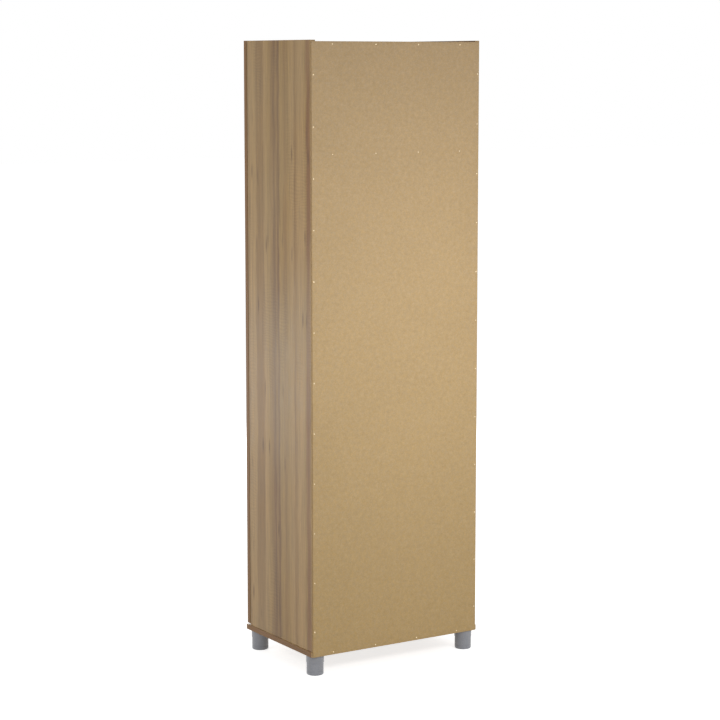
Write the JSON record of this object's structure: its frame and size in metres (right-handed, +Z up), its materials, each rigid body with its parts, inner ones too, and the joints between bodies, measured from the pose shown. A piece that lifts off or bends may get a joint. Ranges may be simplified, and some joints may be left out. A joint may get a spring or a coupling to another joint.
{
  "type": "pantry cabinet",
  "caption": "Tall free-standing pantry cabinet in wood-grain board with two full-height hinged doors, shelves, a nailed hardboard back and adjustable feet.",
  "frame": {"origin": "on the floor, at the middle of the cabinet's outside box, handles and back included", "axes": "+Z up, the doors face -Y, the hardboard back faces +Y, +X is the right-hand side seen from the front"},
  "size_m": [0.6008, 0.4298, 1.887],
  "materials": {
    "board_foil": "wood-grain melamine foil on particle board, matt, raw edge at the back",
    "door_foil": "wood-grain melamine foil on particle board, matt, banded edges",
    "hardboard": "bare hardboard, fine fibre, matt",
    "beech": "fluted beech dowel",
    "brad_steel": "yellow-passivated steel brad",
    "zinc_steel": "bright zinc-plated steel and die-cast zinc",
    "nickel_steel": "nickel-plated pressed steel",
    "handle_nickel": "satin brushed nickel",
    "bumper_rubber": "clear soft bumper",
    "foot_plastic": "grey moulded plastic, satin"
  },
  "bodies": {
    "root": {"right_side_panel": "board_foil", "left_side_panel": "board_foil", "top_panel": "board_foil", "base_panel": "board_foil", "fixed_shelf": "board_foil", "lower_loose_shelf": "board_foil", "middle_loose_shelf": "board_foil", "upper_loose_shelf": "board_foil", "back_panel": "hardboard", "back_brads": "brad_steel", "cam_locks": "zinc_steel", "cam_bolts": "zinc_steel", "wood_dowels": "beech", "base_screws": "zinc_steel", "shelf_pins": "zinc_steel", "hinge_plate_screws": "zinc_steel", "hinge_arm_screws": "zinc_steel", "collar_screws": "zinc_steel", "right_hinge_plates": "zinc_steel", "left_hinge_plates": "zinc_steel", "right_hinge_arms": "zinc_steel", "left_hinge_arms": "zinc_steel", "foot_collars": "foot_plastic"},
    "right_door": {"right_door_panel": "door_foil", "right_hinge_cups": "nickel_steel", "right_hinge_pins": "nickel_steel", "right_cup_screws": "nickel_steel", "right_handle": "handle_nickel", "right_handle_screws": "nickel_steel", "right_door_bumpers": "bumper_rubber"},
    "left_door": {"left_door_panel": "door_foil", "left_hinge_cups": "nickel_steel", "left_hinge_pins": "nickel_steel", "left_cup_screws": "nickel_steel", "left_handle": "handle_nickel", "left_handle_screws": "nickel_steel", "left_door_bumpers": "bumper_rubber"},
    "rear_right_foot": {"rear_right_foot": "foot_plastic"},
    "rear_left_foot": {"rear_left_foot": "foot_plastic"},
    "front_right_foot": {"front_right_foot": "foot_plastic"},
    "front_left_foot": {"front_left_foot": "foot_plastic"}
  },
  "joints": [
    {"name": "right_door_hinge", "type": "hinge", "parent": "root", "child": "right_door", "pos_m": [0.2915, -0.1714, 0.98375], "axis": [0, 0, 1], "range_deg": [0, 100], "stiffness_Nm_per_rad": 0.5, "springref_deg": -28.65},
    {"name": "left_door_hinge", "type": "hinge", "parent": "root", "child": "left_door", "pos_m": [-0.2915, -0.1714, 0.98375], "axis": [0, 0, -1], "range_deg": [0, 100], "stiffness_Nm_per_rad": 0.5, "springref_deg": -28.65},
    {"name": "rear_right_foot_height", "type": "slide", "parent": "root", "child": "rear_right_foot", "axis": [0, 0, -1], "range_m": [0, 0.012]},
    {"name": "rear_left_foot_height", "type": "slide", "parent": "root", "child": "rear_left_foot", "axis": [0, 0, -1], "range_m": [0, 0.012]},
    {"name": "front_right_foot_height", "type": "slide", "parent": "root", "child": "front_right_foot", "axis": [0, 0, -1], "range_m": [0, 0.012]},
    {"name": "front_left_foot_height", "type": "slide", "parent": "root", "child": "front_left_foot", "axis": [0, 0, -1], "range_m": [0, 0.012]}
  ]
}
